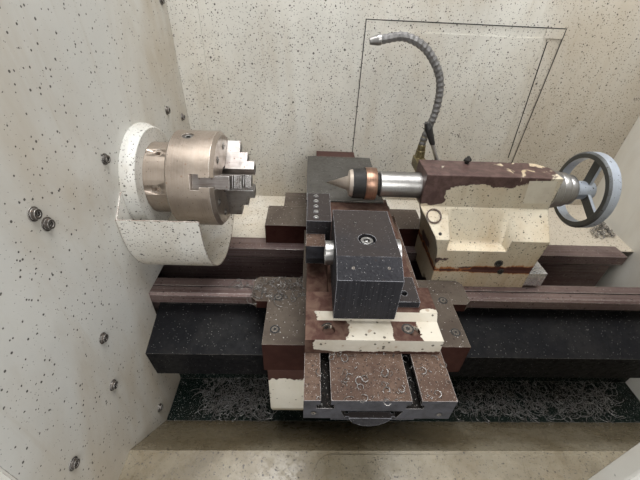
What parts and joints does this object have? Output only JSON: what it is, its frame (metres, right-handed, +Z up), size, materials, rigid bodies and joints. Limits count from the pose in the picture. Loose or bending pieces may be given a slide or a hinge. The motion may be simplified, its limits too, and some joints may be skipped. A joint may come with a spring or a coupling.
{
  "type": "cnc turning lathe",
  "caption": "CNC turning lathe with a three-jaw chuck, a T-slotted cross slide with tool holders, a hand-wound tailstock and a sliding-door enclosure.",
  "frame": {"origin": "centre of the footprint on the floor", "axes": "+X along the spindle towards the tailstock, +Y away from the operator, +Z up"},
  "size_m": [2.29, 1.14, 1.75],
  "materials": {
    "cream_paint": "worn cream machine paint with speckles and oil stains",
    "cast_cream": "cream paint chipped down to dark rusty iron",
    "black_paint": "dull black paint",
    "gunmetal": "oiled dark steel",
    "rusted_iron": "ground iron with a brown oily rust film",
    "ground_steel": "ground steel with light stains",
    "bright_steel": "bright turned steel",
    "aluminium": "milled",
    "brass": "tarnished",
    "belt_rubber": "matt",
    "door_glass": "clear window with coolant haze"
  },
  "bodies": {
    "frame": {"base_cabinet": "cream_paint", "chip_tray": "cream_paint", "front_sill": "cream_paint", "headstock_wall": "cream_paint", "headstock_front_cover": "cream_paint", "right_front_cover": "cream_paint", "headstock_casing": "cream_paint", "back_splash": "cream_paint", "corner_strip": "cream_paint", "splash_access_panel": "cream_paint", "right_end_wall": "cream_paint", "upper_rail": "cream_paint", "spindle_collar": "cream_paint", "chuck_guard": "cream_paint", "bed": "rusted_iron", "headstock_casting": "rusted_iron", "spindle_motor": "black_paint", "drive_belt": "belt_rubber", "screw_cover": "black_paint"},
    "spindle_group": {"spindle": "gunmetal", "spindle_pulley": "gunmetal", "chuck_body": "rusted_iron"},
    "motor_rotor": {"motor_pulley": "gunmetal"},
    "scroll": {"chuck_scroll": "ground_steel"},
    "jaw_1": {"chuck_jaw_1": "ground_steel"},
    "jaw_2": {"chuck_jaw_2": "ground_steel"},
    "jaw_3": {"chuck_jaw_3": "ground_steel"},
    "pinion_1": {"key_pinion_1": "ground_steel"},
    "pinion_2": {"key_pinion_2": "ground_steel"},
    "pinion_3": {"key_pinion_3": "ground_steel"},
    "leadscrew": {"bed_leadscrew": "bright_steel"},
    "carriage": {"saddle": "rusted_iron", "apron": "cream_paint", "rear_cover": "gunmetal", "cross_motor_box": "cream_paint"},
    "cross_slide_group": {"cross_slide": "rusted_iron", "slide_end_cap": "gunmetal", "riser_block": "rusted_iron", "tool_block": "gunmetal", "boring_sleeve": "bright_steel", "block_clamp": "gunmetal", "turning_holder": "gunmetal", "turning_tool": "rusted_iron"},
    "cross_leadscrew": {"cross_screw": "bright_steel"},
    "tailstock": {"tailstock_base": "cast_cream", "tailstock_end_block": "aluminium", "tailstock_body": "cast_cream", "tailstock_dial": "ground_steel", "hose_valve": "brass", "coolant_hose": "ground_steel", "hose_nozzle": "bright_steel"},
    "quill_group": {"quill": "bright_steel", "live_centre_body": "black_paint"},
    "centre_point": {"live_centre_point": "bright_steel"},
    "feed_wheel": {"handwheel": "bright_steel"},
    "lock_lever": {"quill_lock_lever": "black_paint"},
    "door_right": {"right_door": "cream_paint", "right_door_window": "door_glass"},
    "door_left": {"left_door": "cream_paint", "left_door_window": "door_glass"}
  },
  "joints": [
    {"name": "spindle_turn", "type": "hinge", "parent": "frame", "child": "spindle_group", "pos_m": [-0.4925, 0.13, 1.1], "axis": [1, 0, 0], "continuous": true},
    {"name": "motor_turn", "type": "hinge", "parent": "frame", "child": "motor_rotor", "pos_m": [-1.02, 0.385, 0.7], "axis": [1, 0, 0], "continuous": true},
    {"name": "scroll_turn", "type": "hinge", "parent": "spindle_group", "child": "scroll", "pos_m": [-0.397, 0.13, 1.1], "axis": [1, 0, 0], "range_deg": [-432, 1080]},
    {"name": "jaw_1_slide", "type": "slide", "parent": "spindle_group", "child": "jaw_1", "axis": [0, -0.9205, 0.3907], "range_m": [-0.012, 0.03]},
    {"name": "jaw_2_slide", "type": "slide", "parent": "spindle_group", "child": "jaw_2", "axis": [0, 0.7986, 0.6018], "range_m": [-0.012, 0.03]},
    {"name": "jaw_3_slide", "type": "slide", "parent": "spindle_group", "child": "jaw_3", "axis": [0, 0.1219, -0.9925], "range_m": [-0.012, 0.03]},
    {"name": "pinion_1_turn", "type": "hinge", "parent": "spindle_group", "child": "pinion_1", "pos_m": [-0.355, 0.11781, 1.19925], "axis": [0, -0.1219, 0.9925], "range_deg": [-1728, 4320]},
    {"name": "pinion_2_turn", "type": "hinge", "parent": "spindle_group", "child": "pinion_2", "pos_m": [-0.355, 0.22205, 1.06093], "axis": [0, 0.9205, -0.3907], "range_deg": [-1728, 4320]},
    {"name": "pinion_3_turn", "type": "hinge", "parent": "spindle_group", "child": "pinion_3", "pos_m": [-0.355, 0.05014, 1.03982], "axis": [0, -0.7986, -0.6018], "range_deg": [-1728, 4320]},
    {"name": "carriage_slide", "type": "slide", "parent": "frame", "child": "carriage", "axis": [1, 0, 0], "range_m": [-0.09, 0.055]},
    {"name": "leadscrew_turn", "type": "hinge", "parent": "frame", "child": "leadscrew", "pos_m": [0.2, -0.075, 0.66], "axis": [1, 0, 0], "range_deg": [-3240, 1980]},
    {"name": "cross_slide_travel", "type": "slide", "parent": "carriage", "child": "cross_slide_group", "axis": [0, 1, 0], "range_m": [-0.02, 0.09]},
    {"name": "cross_screw_turn", "type": "hinge", "parent": "carriage", "child": "cross_leadscrew", "pos_m": [0.065, 0.13, 0.915], "axis": [0, 1, 0], "range_deg": [-1440, 6480]},
    {"name": "tailstock_slide", "type": "slide", "parent": "frame", "child": "tailstock", "axis": [1, 0, 0], "range_m": [-0.05, 0.28]},
    {"name": "quill_slide", "type": "slide", "parent": "tailstock", "child": "quill_group", "axis": [1, 0, 0], "range_m": [-0.105, 0.07]},
    {"name": "handwheel_turn", "type": "hinge", "parent": "tailstock", "child": "feed_wheel", "pos_m": [0.705, 0.13, 1.1], "axis": [1, 0, 0], "range_deg": [-7560, 5040]},
    {"name": "centre_turn", "type": "hinge", "parent": "quill_group", "child": "centre_point", "pos_m": [-0.0083, 0.13, 1.1], "axis": [1, 0, 0], "continuous": true},
    {"name": "lock_lever_turn", "type": "hinge", "parent": "tailstock", "child": "lock_lever", "pos_m": [0.32, 0.2, 1.128], "axis": [0, 1, 0], "range_deg": [-20, 75]},
    {"name": "right_door_slide", "type": "slide", "parent": "frame", "child": "door_right", "axis": [1, 0, 0], "range_m": [-0.47, 0]},
    {"name": "left_door_slide", "type": "slide", "parent": "frame", "child": "door_left", "axis": [1, 0, 0], "range_m": [0, 0.438]}
  ],
  "couplings": [
    {"joint": "motor_turn", "follows": "spindle_turn", "ratio": 1.5454},
    {"joint": "jaw_1_slide", "follows": "scroll_turn", "m_per_rad": 0.0015915},
    {"joint": "jaw_2_slide", "follows": "scroll_turn", "m_per_rad": 0.0015915},
    {"joint": "jaw_3_slide", "follows": "scroll_turn", "m_per_rad": 0.0015915},
    {"joint": "pinion_1_turn", "follows": "scroll_turn", "ratio": 4},
    {"joint": "pinion_2_turn", "follows": "scroll_turn", "ratio": 4},
    {"joint": "pinion_3_turn", "follows": "scroll_turn", "ratio": 4},
    {"joint": "leadscrew_turn", "follows": "carriage_slide", "rad_per_m": 628.32},
    {"joint": "cross_screw_turn", "follows": "cross_slide_travel", "rad_per_m": 1256.6},
    {"joint": "handwheel_turn", "follows": "quill_slide", "rad_per_m": 1256.6}
  ]
}
